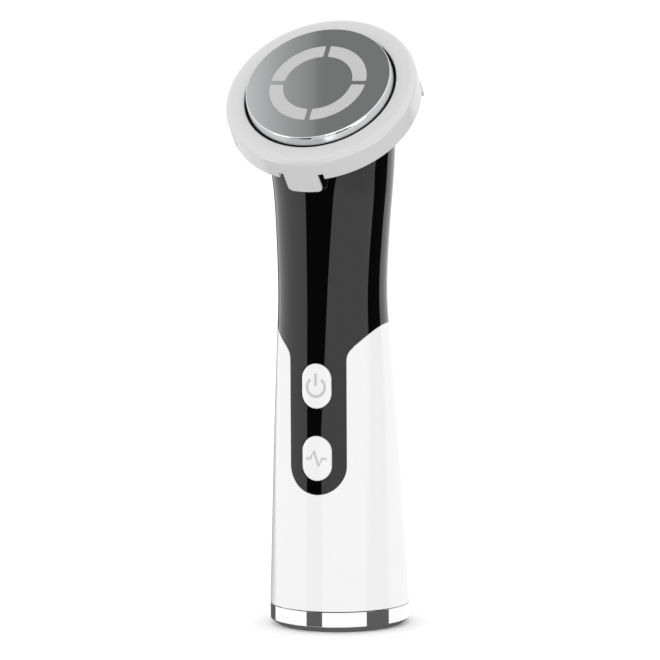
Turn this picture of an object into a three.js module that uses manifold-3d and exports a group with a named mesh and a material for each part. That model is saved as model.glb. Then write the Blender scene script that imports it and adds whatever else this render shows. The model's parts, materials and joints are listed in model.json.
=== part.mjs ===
// Facial care wand: a tilted round metal head with light windows and a clip-on cotton ring,
// on a tapering handle with two press buttons and a chromed base.
// Millimetres, +Z up. The origin is the centre of the underside of the base, and the buttons
// face -Y. Everything in the head is drawn in the head's own frame: its +Z is the plate's
// normal, and its origin is the centre of the plate's outer face.
import * as THREE from 'three';
import { mergeVertices } from 'three/addons/utils/BufferGeometryUtils.js';
import Module from 'manifold-3d';

const wasm = await Module();
wasm.setup();

// ---------------------------------------------------------------- driving dimensions
const GAP = 0.3;                    // clearance between neighbouring pieces
const WALL = 1.8;                   // wall of the sleeve and of the neck
const ROUND = 40;                   // facets round the handle and the head
const SMALL_ROUND = 12;             // facets round pins, screws and posts

const FRONT_Y = -20.6;              // the handle's front line, straight from base to head
const RADII = [                     // [height, radius] of the handle
  [0, 20.75], [30, 19.45], [57, 18.2], [78, 17.0], [97, 15.95], [116, 16.55], [132, 17.8],
  [155.4, 20.4],
];
const NECK_TOP = 155.4;             // height of the centre of the neck's tilted top section
const LEAN_START = 118;             // the neck's sections begin to lean here
const HEAD_TILT = THREE.MathUtils.degToRad(46);
const HEAD_CENTRE = new THREE.Vector3(0, -17, 159.2);

const TONGUE = { halfWidth: 8.5, bottom: 40.4, top: 88, flare: 5, flareStart: 79.35 };
const SHOULDER = { height: 89.3, centreY: -4.3, radius: 16.3 };   // a quarter circle in profile

const BUTTON = { width: 9, height: 13.1, proud: 0.25, lip: 1.2, travel: 0.5 };
const BUTTON_Z = { power: 72, mode: 51 };

const BASE = { foot: 18.3, outer: 20.5, chamfer: 1.7, top: 6.05, bore: 16.4, lipTop: 9 };
const CAP = { radius: 16.1, thickness: 2, screwX: 11 };
const USB = { y: 6, width: 8.9, depth: 3.2, length: 7.3, bottom: 0.8, shell: 0.3 };

const PLATE = { topRadius: 21.2, rimRadius: 22.2, rimDrop: 3.7, bevel: 0.3, sheet: 0.8 };
const WINDOW = { inner: 10.15, outer: 14.5, bridge: 1.3 };
const RING = {
  outer: 28.3, bore: 22.5, top: -2.5, bottom: -10.5, wall: 1.2, edge: 1.9,
  tabWidth: 10.5, tabDrop: 5, tabCorner: 1.5, notchWidth: 1.6, notchDepth: 2,
  tabAngles: [-2, 118, 238],
};
const HEAD_BASE = { outer: 26.6, inner: 25, top: -5.2, bottom: -9.9, floor: 1, hole: 8 };
const GASKET = { inner: 20.9, outer: 26.3, bottom: -4.9, top: -4.0 };
const LED_BOARD = { radius: 20, bottom: -7.4, top: -6.4 };
const HEAD_SCREW = { ring: 16.5, head: 1.8, headHeight: 0.9, shank: 0.8, tip: -9.2 };
const CONTACT = { x: 18, coil: 1.2, wire: 0.25, turns: 3.5, bottom: -6.1, top: -1.35 };

const BOARD = { halfWidth: 10.5, front: -13, back: -11.8, bottom: 38, top: 88 };
const FRAME_PLATE = { halfWidth: 11, front: -9.6, back: -8.2, bottom: 20, top: 96 };
const BATTERY = { radius: 7, y: 1, bottom: 24, top: 74 };
const MOTOR = {
  radius: 6, y: -4.6, bottom: 98.2, top: 118.2, shaft: 0.75, bearing: 0.1, flange: 1.3,
  screwX: 10.8,
};
const SWITCH = { size: 6, front: -15.3, hole: 1.5, holeBack: -13.9, pin: 1.2 };
const LEAD = 0.55;                  // radius of an insulated lead

// ---------------------------------------------------------------- materials
const finish = (color, roughness, metalness = 0) =>
  () => new THREE.MeshStandardMaterial({ color, roughness, metalness });
const whiteAbs = finish(0xf3f3f2, 0.25);
const blackAbs = finish(0x0c0c0e, 0.12);
const chrome = finish(0xd8dadc, 0.06, 1);
const milkyLens = finish(0xc9cccd, 0.3);
const softBlack = finish(0x151516, 0.8);
const innerAbs = finish(0x3a3c40, 0.6);
const boardGreen = finish(0x1f5b3a, 0.5);
const steel = finish(0xb4b6b8, 0.3, 1);
const brass = finish(0xc8a455, 0.3, 1);
const chipBlack = finish(0x1b1b1d, 0.55);
const ledWhite = finish(0xf0ecd8, 0.4);
const cellBlue = finish(0x2a5fa8, 0.4);
const redSleeve = finish(0xb3231f, 0.5);
const blackSleeve = finish(0x1d1d1f, 0.5);

// ---------------------------------------------------------------- solids
function toSolid(geometry) {
  const bare = geometry.clone();
  bare.deleteAttribute('normal');
  bare.deleteAttribute('uv');
  const merged = mergeVertices(bare, 1e-4);
  const index = merged.index.array;
  const triangles = [];
  for (let i = 0; i < index.length; i += 3) {
    const [a, b, c] = [index[i], index[i + 1], index[i + 2]];
    if (a !== b && b !== c && c !== a) triangles.push(a, b, c);
  }
  return new wasm.Manifold(new wasm.Mesh({
    numProp: 3,
    vertProperties: new Float32Array(merged.attributes.position.array),
    triVerts: new Uint32Array(triangles),
  }));
}

function toGeometry(solid) {
  const mesh = solid.getMesh();
  const geometry = new THREE.BufferGeometry();
  geometry.setAttribute('position', new THREE.BufferAttribute(mesh.vertProperties, 3));
  geometry.setIndex(new THREE.BufferAttribute(mesh.triVerts, 1));
  return geometry;
}

const join = (...solids) => solids.reduce((whole, next) => whole.add(next));
const cut = (solid, ...tools) => tools.reduce((rest, tool) => rest.subtract(tool), solid);

// A turned solid from [radius, height] points that run anticlockwise round its half section.
function turned(points, segments = ROUND) {
  const profile = points.map(([r, z]) => new THREE.Vector2(r, z));
  return toSolid(new THREE.LatheGeometry(profile, segments).rotateX(Math.PI / 2));
}

function closedTurned(points, segments = ROUND) {
  return turned([...points, points[0]], segments);
}

function cylinder(radius, z0, z1, x = 0, y = 0, segments = SMALL_ROUND) {
  const solid = turned([[0, z0], [radius, z0], [radius, z1], [0, z1]], segments);
  return solid.translate([x, y, 0]);
}

// A cylinder that lies along Y, between y0 and y1.
function crossPin(radius, y0, y1, x, z) {
  return cylinder(radius, 0, y1 - y0).rotate([-90, 0, 0]).translate([x, y0, z]);
}

function box(x0, x1, y0, y1, z0, z1) {
  const geometry = new THREE.BoxGeometry(x1 - x0, y1 - y0, z1 - z0);
  return toSolid(geometry.translate((x0 + x1) / 2, (y0 + y1) / 2, (z0 + z1) / 2));
}

// Extrudes an outline drawn in (x, z) along Y, and one drawn in (y, z) along X.
function extrudeAlongY(shape, y0, y1) {
  const settings = { depth: y1 - y0, bevelEnabled: false, curveSegments: 5 };
  return toSolid(new THREE.ExtrudeGeometry(shape, settings).rotateX(Math.PI / 2)
    .translate(0, y1, 0));
}

function extrudeAlongX(shape, x0, x1) {
  const settings = { depth: x1 - x0, bevelEnabled: false, curveSegments: 5 };
  const turn = new THREE.Matrix4().makeBasis(
    new THREE.Vector3(0, 1, 0), new THREE.Vector3(0, 0, 1), new THREE.Vector3(1, 0, 0));
  return toSolid(new THREE.ExtrudeGeometry(shape, settings).applyMatrix4(turn)
    .translate(x0, 0, 0));
}

function roundedBox(cx, cy, width, height, radius) {
  const shape = new THREE.Shape();
  const [x0, x1, y0, y1] = [cx - width / 2, cx + width / 2, cy - height / 2, cy + height / 2];
  shape.moveTo(x1, y0 + radius);
  shape.lineTo(x1, y1 - radius);
  shape.absarc(x1 - radius, y1 - radius, radius, 0, Math.PI / 2);
  shape.lineTo(x0 + radius, y1);
  shape.absarc(x0 + radius, y1 - radius, radius, Math.PI / 2, Math.PI);
  shape.lineTo(x0, y0 + radius);
  shape.absarc(x0 + radius, y0 + radius, radius, Math.PI, 1.5 * Math.PI);
  shape.lineTo(x1 - radius, y0);
  shape.absarc(x1 - radius, y0 + radius, radius, 1.5 * Math.PI, 2 * Math.PI);
  return shape;
}

function lead(points, radius = LEAD, steps = 3 * points.length, sides = 6) {
  const path = new THREE.CatmullRomCurve3(points.map((p) => new THREE.Vector3(...p)));
  const section = new THREE.Shape();
  for (let i = 0; i < sides; i += 1) {
    const angle = (2 * Math.PI * i) / sides;
    const point = [radius * Math.cos(angle), radius * Math.sin(angle)];
    if (i === 0) section.moveTo(...point);
    else section.lineTo(...point);
  }
  section.closePath();
  return toSolid(new THREE.ExtrudeGeometry(section, { steps, extrudePath: path }));
}

// ---------------------------------------------------------------- the handle's surface
// Smooth curve through [height, radius] knots, with the slope at a knot taken from its
// neighbours.
function radiusAt(z) {
  const last = RADII.length - 2;
  let k = 0;
  while (k < last && z > RADII[k + 1][0]) k += 1;
  const slope = (i) => {
    const a = RADII[Math.max(i - 1, 0)];
    const b = RADII[Math.min(i + 1, RADII.length - 1)];
    return (b[1] - a[1]) / (b[0] - a[0]);
  };
  const [z0, r0] = RADII[k];
  const [z1, r1] = RADII[k + 1];
  const span = z1 - z0;
  const t = (z - z0) / span;
  const h = t * t * (3 - 2 * t);
  return r0 * (1 - h) + r1 * h
    + span * t * (1 - t) * ((1 - t) * slope(k) - t * slope(k + 1));
}

function leanAt(z) {
  const t = THREE.MathUtils.clamp((z - LEAN_START) / (NECK_TOP - LEAN_START), 0, 1);
  return HEAD_TILT * t * t * (3 - 2 * t);
}

// Moves a turned solid's sections so that they all touch the straight front line, and leans
// the upper ones towards the head's plane.
function alongHandle(solid) {
  return solid.warp((point) => {
    const [, y, z] = point;
    const lean = leanAt(z);
    point[1] = FRONT_Y + radiusAt(z) * Math.cos(lean) + y * Math.cos(lean);
    point[2] = z + y * Math.sin(lean);
  });
}

function stations(from, to, count) {
  return Array.from({ length: count + 1 }, (_, i) => from + ((to - from) * i) / count);
}

function handleWall(from, to, count) {
  const heights = stations(from, to, count);
  const outside = heights.map((z) => [radiusAt(z), z]);
  const inside = heights.map((z) => [radiusAt(z) - WALL, z]).reverse();
  return alongHandle(closedTurned([...outside, ...inside]));
}

function handleCore(from, to, count, proud) {
  const outside = stations(from, to, count).map((z) => [radiusAt(z) + proud, z]);
  return alongHandle(turned([[0, from], ...outside, [0, to]]));
}

// The space that the black neck and its tongue take up, grown by a clearance.
function neckSpace(grow) {
  const { height, centreY, radius } = SHOULDER;
  const far = 45;
  const arcZ = height - radius;
  const side = new THREE.Shape();
  side.moveTo(far, 200);
  side.lineTo(-far, 200);
  side.lineTo(-far, arcZ);
  side.absarc(centreY, arcZ, radius - grow, Math.PI, Math.PI / 2, true);
  side.lineTo(far, height - grow);
  side.closePath();

  const half = TONGUE.halfWidth + grow;
  const centreZ = TONGUE.bottom + TONGUE.halfWidth;
  const flare = TONGUE.flare - grow;
  const flareX = TONGUE.halfWidth + TONGUE.flare;
  const front = new THREE.Shape();
  front.moveTo(half, centreZ);
  front.absarc(flareX, TONGUE.flareStart, flare, Math.PI, 0.74 * Math.PI, true);
  front.lineTo(flareX - 0.7 * flare, TONGUE.top);
  front.lineTo(0.7 * flare - flareX, TONGUE.top);
  front.absarc(-flareX, TONGUE.flareStart, flare, 0.26 * Math.PI, 0, true);
  front.lineTo(-half, centreZ);
  front.absarc(0, centreZ, half, Math.PI, 2 * Math.PI);
  return join(extrudeAlongX(side, -far, far), extrudeAlongY(front, -far, -9));
}

// ---------------------------------------------------------------- the assembly
const wand = new THREE.Group();
const head = new THREE.Group();
head.position.copy(HEAD_CENTRE);
head.rotation.x = HEAD_TILT;
wand.add(head);

function addPiece(name, solid, material, parent = wand) {
  const mesh = new THREE.Mesh(toGeometry(solid), material());
  mesh.name = name;
  parent.add(mesh);
}

const SIDES = [[-1, 'left'], [1, 'right']];
const turnedAboutHead = (solid, degrees) => solid.rotate([0, 0, degrees]);

// ---- base
function baseRing() {
  const { foot, outer, chamfer, top, bore, lipTop } = BASE;
  const lipOuter = radiusAt(lipTop) - WALL - 0.1 - GAP;
  return closedTurned([
    [bore, 0], [foot, 0], [outer, chamfer], [outer, top], [lipOuter, top],
    [lipOuter, lipTop], [lipOuter - 1.3, lipTop], [lipOuter - 1.3, CAP.thickness + 1],
    [bore, CAP.thickness + 1],
  ]);
}

function baseCap() {
  const tools = [-1, 1].flatMap((side) => [
    cylinder(1.3, -1, 5, side * CAP.screwX),
    cylinder(2.4, -1, 1.2, side * CAP.screwX),
  ]);
  const port = roundedBox(0, 0, USB.width + 2 * GAP, USB.depth + 2 * GAP, 1.8);
  const opening = toSolid(new THREE.ExtrudeGeometry(port, {
    depth: 6, bevelEnabled: false, curveSegments: 3,
  })).translate([0, USB.y, -1]);
  return cut(cylinder(CAP.radius, 0, CAP.thickness, 0, 0, ROUND), ...tools, opening);
}

function baseScrew(x) {
  return join(cylinder(2.1, 0.25, 0.95, x), cylinder(0.9, 0.9, 9, x));
}

function usbSocket() {
  const { y, width, depth, length, bottom, shell } = USB;
  const tube = (w, d, r, z0, z1) => toSolid(new THREE.ExtrudeGeometry(
    roundedBox(0, 0, w, d, r), { depth: z1 - z0, bevelEnabled: false, curveSegments: 3 },
  )).translate([0, y, z0]);
  const top = bottom + length;
  return join(
    cut(tube(width, depth, 1.55, bottom, top),
      tube(width - 2 * shell, depth - 2 * shell, 1.25, bottom - 1, top - 1)),
    box(-3.3, 3.3, y - 0.35, y + 0.35, bottom + 0.8, top - 0.5));
}

addPiece('base_ring', baseRing(), chrome);
addPiece('base_cap', baseCap(), innerAbs);
SIDES.forEach(([side, name]) => {
  addPiece(`base_screw_${name}`, baseScrew(side * CAP.screwX), steel);
});
addPiece('usb_socket', usbSocket(), steel);

const chargeBoard = { back: USB.y - USB.depth / 2 - GAP, front: USB.y - USB.depth / 2 - 1.5 };
addPiece('charge_board', box(-8, 8, chargeBoard.front, chargeBoard.back, 3.2, 15), boardGreen);
addPiece('charge_chip',
  box(-2, 2, chargeBoard.front - 1.6, chargeBoard.front - GAP, 8, 12), chipBlack);

// ---- sleeve and neck
addPiece('white_sleeve',
  cut(handleWall(BASE.top + GAP, 92, 6), neckSpace(GAP)), whiteAbs);

function neckCover() {
  const holes = Object.values(BUTTON_Z).map((z) => extrudeAlongY(
    roundedBox(0, z, BUTTON.width + 2 * GAP, BUTTON.height + 2 * GAP,
      BUTTON.width / 2 + GAP), -40, -9));
  const shell = handleWall(TONGUE.bottom - 1.8, NECK_TOP, 12).intersect(neckSpace(0));
  return cut(shell, ...holes);
}
addPiece('neck_cover', neckCover(), blackAbs);

// ---- buttons, with a lip behind the wall and a stem that meets the switch's pin
const LIP = { front: -17.4, back: -16.6 };
const STEM_BACK = -16.2;

function pressButton(z) {
  const { width, height, proud, lip } = BUTTON;
  const cap = extrudeAlongY(roundedBox(0, z, width, height, width / 2), -30, LIP.back)
    .intersect(handleCore(z - 9, z + 9, 2, proud));
  const flange = extrudeAlongY(
    roundedBox(0, z, width + lip, height + lip, (width + lip) / 2), LIP.front, LIP.back);
  return join(cap, flange, crossPin(1.5, LIP.back - 0.2, STEM_BACK, 0, z));
}

function tactSwitch(z) {
  const half = SWITCH.size / 2;
  const back = BOARD.front - GAP;
  return cut(box(-half, half, SWITCH.front, back, z - half, z + half),
    crossPin(SWITCH.hole, -20, SWITCH.holeBack, 0, z));
}

for (const [name, z] of Object.entries(BUTTON_Z)) {
  addPiece(`${name}_button`, pressButton(z), whiteAbs);
  addPiece(`${name}_switch`, tactSwitch(z), chipBlack);
  addPiece(`${name}_switch_pin`, crossPin(SWITCH.pin, STEM_BACK + GAP,
    SWITCH.holeBack - BUTTON.travel - 0.1, 0, z), ledWhite);
}

// ---- inner frame, main board and battery
const BOARD_SCREWS = [-8.3, 8.3].flatMap((x) => [41, 85].map((z) => [x, z]));

function innerFrame() {
  const { halfWidth, front, back, bottom, top } = FRAME_PLATE;
  const disc = (z0, z1) => {
    const radius = radiusAt(z1) - WALL - 0.6;
    return cylinder(radius, z0, z1, 0, FRONT_Y + radiusAt(z1), ROUND);
  };
  const saddle = (z) => cylinder(BATTERY.radius + 2.4, z, z + 4, 0, BATTERY.y, 20);
  const legs = [-1, 1].map((side) => cylinder(2.6, CAP.thickness + GAP, bottom + 0.5,
    side * CAP.screwX));
  const posts = BOARD_SCREWS.map(([x, z]) => crossPin(2, BOARD.back + GAP, front + 0.2, x, z));
  const whole = join(box(-halfWidth, halfWidth, front, back, bottom, top),
    disc(bottom, bottom + 1.5), disc(top - 1.5, top), saddle(30), saddle(64), ...legs,
    ...posts);
  return cut(whole,
    cylinder(BATTERY.radius + 0.4, bottom + 3, BATTERY.top + 8, 0, BATTERY.y, 20),
    ...[-1, 1].map((side) => cylinder(1.2, 0, 12, side * CAP.screwX)),
    ...BOARD_SCREWS.map(([x, z]) => crossPin(1, -14, front + 0.2, x, z)),
    box(-5, 5, -12, -5, 23, 31),
    box(-6, 6, -12, -6, 87.5, 93.5),
    box(-4, 4, -12, -3, bottom - 1, bottom + 3),
    cylinder(3.4, 90, 99, 0, MOTOR.y),
    box(-2.5, 2.5, -22, -13, 90, 99),
    ...[-1, 1].map((side) => cylinder(1.1, 90, 99, side * MOTOR.screwX, MOTOR.y)));
}

function mainBoard() {
  const { halfWidth, front, back, bottom, top } = BOARD;
  return cut(box(-halfWidth, halfWidth, front, back, bottom, top),
    ...BOARD_SCREWS.map(([x, z]) => crossPin(1.1, -16, -9, x, z)));
}

function boardScrew(x, z) {
  const seat = BOARD.front - GAP;
  return join(crossPin(1.7, seat - 0.9, seat, x, z), crossPin(0.7, seat - 0.1, -10.2, x, z));
}

function onBoard(x, z, width, height, thick) {
  const back = BOARD.front - GAP;
  return box(x - width / 2, x + width / 2, back - thick, back, z - height / 2, z + height / 2);
}

addPiece('inner_frame', innerFrame(), innerAbs);
addPiece('main_board', mainBoard(), boardGreen);
BOARD_SCREWS.forEach(([x, z], i) => addPiece(`board_screw_${i + 1}`, boardScrew(x, z), steel));
addPiece('controller_chip', onBoard(0, 60.5, 7, 7, 0.9), chipBlack);
addPiece('driver_chip', onBoard(0, 80.5, 5, 4, 1.4), chipBlack);
addPiece('boost_coil', crossPin(2.6, BOARD.front - GAP - 2.4, BOARD.front - GAP, -7, 66),
  chipBlack);
addPiece('battery_socket', onBoard(3.4, 43.2, 5, 4.2, 2.4), ledWhite);
addPiece('battery', cylinder(BATTERY.radius, BATTERY.bottom, BATTERY.top, 0, BATTERY.y, 20),
  cellBlue);

// ---- vibration motor in the neck
function motorBracket() {
  const bottom = FRAME_PLATE.top + GAP;
  const flange = cylinder(13.2, bottom, bottom + MOTOR.flange, 0, MOTOR.y, ROUND);
  const collar = cylinder(MOTOR.radius + 2.2, bottom, MOTOR.top - 5, 0, MOTOR.y, 20);
  return cut(join(flange, collar),
    cylinder(MOTOR.radius + GAP, bottom + 1.4, MOTOR.top + 1, 0, MOTOR.y, 20),
    cylinder(3.4, bottom - 1, bottom + 2, 0, MOTOR.y),
    box(-2.5, 2.5, -22, -13, bottom - 1, bottom + 3),
    ...[-1, 1].map((side) => cylinder(1.1, bottom - 1, bottom + 3, side * MOTOR.screwX, MOTOR.y)));
}

function bracketScrew(x) {
  const seat = FRAME_PLATE.top + GAP + MOTOR.flange + GAP;
  return join(cylinder(1.9, seat, seat + 1, x, MOTOR.y),
    cylinder(0.8, seat - 5, seat + 0.1, x, MOTOR.y));
}

function motorCan() {
  const { radius, y, bottom, top, shaft, bearing } = MOTOR;
  return cut(cylinder(radius, bottom, top, 0, y, 20),
    cylinder(shaft + bearing, top - 6, top + 1, 0, y, 24));
}

function eccentricWeight() {
  const { y, top, shaft } = MOTOR;
  const disc = cylinder(4.6, top + 2, top + 7, 0, 0, 20);
  const half = cut(disc, box(-6, 6, 0.9, 6, top, top + 9));
  const hub = cylinder(2, top + 2, top + 7, 0, 0, 24);
  return cut(join(half, hub), cylinder(shaft + GAP, top, top + 9, 0, 0, 24))
    .translate([0, y, 0]);
}

addPiece('motor_bracket', motorBracket(), innerAbs);
SIDES.forEach(([side, name]) => {
  addPiece(`bracket_screw_${name}`, bracketScrew(side * MOTOR.screwX), steel);
});
addPiece('motor_can', motorCan(), steel);
addPiece('motor_shaft', cylinder(MOTOR.shaft, MOTOR.top - 5.5, MOTOR.top + 8, 0, MOTOR.y, 24),
  steel);
addPiece('eccentric_weight', eccentricWeight(), brass);

// ---- head
function headBase() {
  const { outer, inner, top, bottom, floor, hole } = HEAD_BASE;
  const shelf = GASKET.inner;
  const cup = closedTurned([
    [hole, bottom], [outer, bottom], [outer, top], [shelf, top], [shelf, top - 1.2],
    [inner, top - 1.2], [inner, bottom + floor], [hole, bottom + floor],
  ]);
  const bossTop = LED_BOARD.bottom - GAP;
  const bosses = screwPlaces((x, y) => cylinder(2.2, bottom + 0.5, bossTop, x, y));
  const holes = screwPlaces((x, y) => cylinder(1.1, bottom + 0.4, bossTop + 1, x, y));
  return cut(join(cup, ...bosses), ...holes);
}

function screwPlaces(make) {
  return [90, 210, 330].map((degrees) => {
    const angle = THREE.MathUtils.degToRad(degrees);
    return make(HEAD_SCREW.ring * Math.cos(angle), HEAD_SCREW.ring * Math.sin(angle));
  });
}

function headScrew(x, y) {
  const { head: radius, headHeight, shank, tip } = HEAD_SCREW;
  const seat = LED_BOARD.top + GAP;
  return join(cylinder(radius, seat, seat + headHeight, x, y),
    cylinder(shank, tip, seat + 0.1, x, y));
}

function ledBoard() {
  return cut(cylinder(LED_BOARD.radius, LED_BOARD.bottom, LED_BOARD.top, 0, 0, ROUND),
    ...screwPlaces((x, y) => cylinder(1.1, -12, 0, x, y)));
}

function contactSpring(side) {
  const { x, coil, wire, turns, bottom, top } = CONTACT;
  const count = Math.round(turns * 8);
  const points = stations(0, 1, count).map((t) => {
    const angle = 2 * Math.PI * turns * t;
    return [side * x + coil * Math.cos(angle), coil * Math.sin(angle),
      bottom + wire + (top - bottom - 2 * wire) * t];
  });
  return lead(points, wire, count, 4);
}

// Four arcs between two radii, parted by bridges at the front, the back and both sides.
function windowArcs(inner, outer, bridge, z0, z1) {
  const ring = closedTurned([[inner, z0], [outer, z0], [outer, z1], [inner, z1]]);
  const half = bridge / 2;
  return cut(ring, box(-half, half, -30, 30, z0 - 1, z1 + 1),
    box(-30, 30, -half, half, z0 - 1, z1 + 1));
}

function treatmentPlate() {
  const { topRadius, rimRadius, rimDrop, bevel, sheet } = PLATE;
  const cup = turned([
    [0, -sheet], [topRadius - 0.7, -sheet], [rimRadius - 0.9, -rimDrop],
    [rimRadius, -rimDrop], [topRadius + 0.25, -bevel], [topRadius, 0], [0, 0],
  ]);
  return cut(cup, windowArcs(WINDOW.inner, WINDOW.outer, WINDOW.bridge, -2, 1));
}

function windowLens() {
  const arcs = windowArcs(WINDOW.inner + GAP, WINDOW.outer - GAP, WINDOW.bridge + 2 * GAP,
    -1.6, -0.05);
  const under = -PLATE.sheet - GAP;
  const carrier = closedTurned([[9, under - 1.1], [15.6, under - 1.1], [15.6, under],
    [9, under]]);
  return join(arcs, carrier);
}

function cottonRing() {
  const { outer, bore, top, bottom, wall, edge, tabWidth, tabDrop, tabCorner } = RING;
  const corner = [0, 30, 60, 90].map((degrees) => {
    const angle = THREE.MathUtils.degToRad(degrees);
    return [outer - edge + edge * Math.cos(angle), top - edge + edge * Math.sin(angle)];
  });
  const inside = outer - wall;
  const hoop = closedTurned([
    [inside, bottom], [outer, bottom], ...corner, [bore + 0.4, top], [bore, top - 0.4],
    [bore, top - wall], [inside - 0.5, top - wall], [inside, top - wall - 0.5],
  ], 48);
  const skirt = closedTurned([
    [inside, bottom - tabDrop], [outer, bottom - tabDrop], [outer, bottom + 0.2],
    [inside, bottom + 0.2],
  ], 48);
  const outline = roundedBox(0, bottom - tabDrop + 5, tabWidth, 10, tabCorner);
  const tab = skirt.intersect(extrudeAlongY(outline, -40, -20));
  const notches = [-1, 1].map((side) => {
    const near = side * tabWidth / 2;
    const far = side * (tabWidth / 2 + RING.notchWidth);
    return box(Math.min(near, far), Math.max(near, far), -40, -20, bottom - 1,
      bottom + RING.notchDepth);
  });
  return RING.tabAngles.reduce((ring, degrees) => cut(
    join(ring, turnedAboutHead(tab, degrees)),
    ...notches.map((notch) => turnedAboutHead(notch, degrees))), hoop);
}

addPiece('head_base', headBase(), blackAbs, head);
addPiece('head_gasket', closedTurned([
  [GASKET.inner, GASKET.bottom], [GASKET.outer, GASKET.bottom], [GASKET.outer, GASKET.top],
  [GASKET.inner, GASKET.top]]), softBlack, head);
addPiece('led_board', ledBoard(), boardGreen, head);
screwPlaces(headScrew).forEach((screw, i) => {
  addPiece(`head_screw_${i + 1}`, screw, steel, head);
});
addPiece('treatment_plate', treatmentPlate(), chrome, head);
addPiece('window_lens', windowLens(), milkyLens, head);
addPiece('cotton_ring', cottonRing(), whiteAbs, head);
SIDES.forEach(([side, name]) => {
  addPiece(`contact_spring_${name}`, contactSpring(side), brass, head);
});

const LAMPS = ['front_right', 'back_right', 'back_left', 'front_left'];
LAMPS.forEach((name, i) => {
  const lamp = box(10.5, 14, -1.4, 1.4, LED_BOARD.top + GAP, LED_BOARD.top + 1.2);
  addPiece(`led_${name}`, turnedAboutHead(lamp, -45 + 90 * i), ledWhite, head);
});

// ---- leads
for (const side of [-1, 1]) {
  const colour = side < 0 ? 'black' : 'red';
  const sleeve = side < 0 ? blackSleeve : redSleeve;
  addPiece(`motor_lead_${colour}`, lead([
    [side * 1.5, -4.6, 97.9], [side * 1.5, -4.6, 94], [side * 2.2, -7, 91.4],
    [side * 3.4, -10.6, 90.4], [side * 3.6, -12.4, 88.3 + LEAD],
  ]), sleeve);
  addPiece(`charge_lead_${colour}`, lead([
    [side * 2, 3.3, 15.3], [side * 2, 2.4, 17.2], [side * 2, -3.6, 18], [side * 2, -6.2, 21],
    [side * 2, -8, 26], [side * 2.4, -11.4, 31], [side * 2.6, -12.4, 37.7],
  ]), sleeve);
  const lane = side < 0 ? -5.2 : -7.6;
  const rise = side < 0 ? 3 : 0;
  addPiece(`battery_lead_${colour}`, lead([
    [side * 2.5, 1, 74.4], [side * 2.5, 0.6, 76.6 + rise], [7, lane + 5, 78 + rise],
    [12.2, lane, 74 + rise], [13, lane, 60], [13.2, lane - 1.4, 50],
    [11.6, -13.4, 44.6 + side], [9, -15, 43.4 + side], [6.3, -14.9, 43.2 + side],
  ]), sleeve);
}
addPiece('head_lead', lead([
  [0, -12.4, 88.6], [0, -13.6, 90.6], [0, -15, 95], [0, -15.2, 100], [0, -14.6, 112],
  [0, -13, 124], [0, -9.5, 136], [0, -6.4, 144], [0, -6.9, 149.4], [0, -11.0, 153.4],
], 0.9), blackSleeve);

export default wand;
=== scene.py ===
"""Facial care wand: the finish of a standing wand with a tilted round head.

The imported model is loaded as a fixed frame, every outer piece is modelled again as a fine mesh
where its solid is, and the pieces inside get their finishes.
"""

import json
import math

import bmesh
import bpy
from mathutils import Matrix, Vector


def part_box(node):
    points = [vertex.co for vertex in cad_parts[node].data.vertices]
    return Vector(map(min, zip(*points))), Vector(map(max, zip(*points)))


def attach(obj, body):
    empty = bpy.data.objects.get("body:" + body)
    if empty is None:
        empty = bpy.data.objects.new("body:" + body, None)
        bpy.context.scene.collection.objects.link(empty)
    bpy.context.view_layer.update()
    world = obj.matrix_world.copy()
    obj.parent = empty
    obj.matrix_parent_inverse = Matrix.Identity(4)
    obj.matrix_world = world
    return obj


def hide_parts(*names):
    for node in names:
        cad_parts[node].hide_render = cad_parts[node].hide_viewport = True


bl_info = {
    "name": "Facial Care Wand",
    "version": (1, 0, 0),
    "blender": (4, 5, 0),
    "location": "View3D > Sidebar > Wand",
    "description": "Builds the pieces and finishes of a standing facial care wand",
    "category": "Object",
}

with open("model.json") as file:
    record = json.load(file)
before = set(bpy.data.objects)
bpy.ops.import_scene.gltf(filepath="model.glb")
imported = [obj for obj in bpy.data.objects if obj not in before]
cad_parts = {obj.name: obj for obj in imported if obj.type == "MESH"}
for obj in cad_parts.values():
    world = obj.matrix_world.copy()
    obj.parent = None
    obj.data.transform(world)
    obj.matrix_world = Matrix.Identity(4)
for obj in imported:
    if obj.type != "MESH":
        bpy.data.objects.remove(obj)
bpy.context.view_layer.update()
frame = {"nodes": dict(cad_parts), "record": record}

# ------------------------------------------------------------------ the design, in millimetres
MM = 0.001
FRONT_Y = -20.6                 # the handle's straight front line
RADII = [                       # (height, radius) knots of the handle
    (0, 20.75), (30, 19.45), (57, 18.2), (78, 17.0), (97, 15.95), (116, 16.55), (132, 17.8),
    (155.4, 20.4),
]
NECK_TOP = 155.4                # height of the centre of the neck's tilted top section
LEAN_START = 118                # the neck's sections begin to lean here
HEAD_TILT = math.radians(46)
HEAD_CENTRE = Vector((0, -17, 159.2))
HEAD_NORMAL = Vector((0, -math.sin(HEAD_TILT), math.cos(HEAD_TILT)))
HEAD_FRAME = Matrix.Translation(HEAD_CENTRE) @ Matrix.Rotation(HEAD_TILT, 4, "X")

TONGUE_HALF_WIDTH = 8.5
TONGUE_BOTTOM = 40.4
TONGUE_FLARE = 5.0              # fillet between the tongue's side and the shoulder line
TONGUE_FLARE_START = 79.35
SHOULDER_HEIGHT = 89.3          # the shoulder is a quarter circle in profile
SHOULDER_Y = -4.3
SHOULDER_RADIUS = 16.3

BUTTON_WIDTH = 9.0
BUTTON_HEIGHT = 13.1
BUTTON_Z = {"power": 72, "mode": 51}
BUTTON_BACK = -17.4

RING_OUTER = 28.3
RING_BORE = 22.5
RING_TOP = -2.5
RING_BOTTOM = -10.5
RING_JOIN = -7.0                # the turned top and the cut skirt meet here
TAB_WIDTH = 10.5
TAB_DROP = 5.0
NOTCH_WIDTH = 1.6
NOTCH_DEPTH = 2.0
TAB_ANGLES = (-122, -2, 118)

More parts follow.
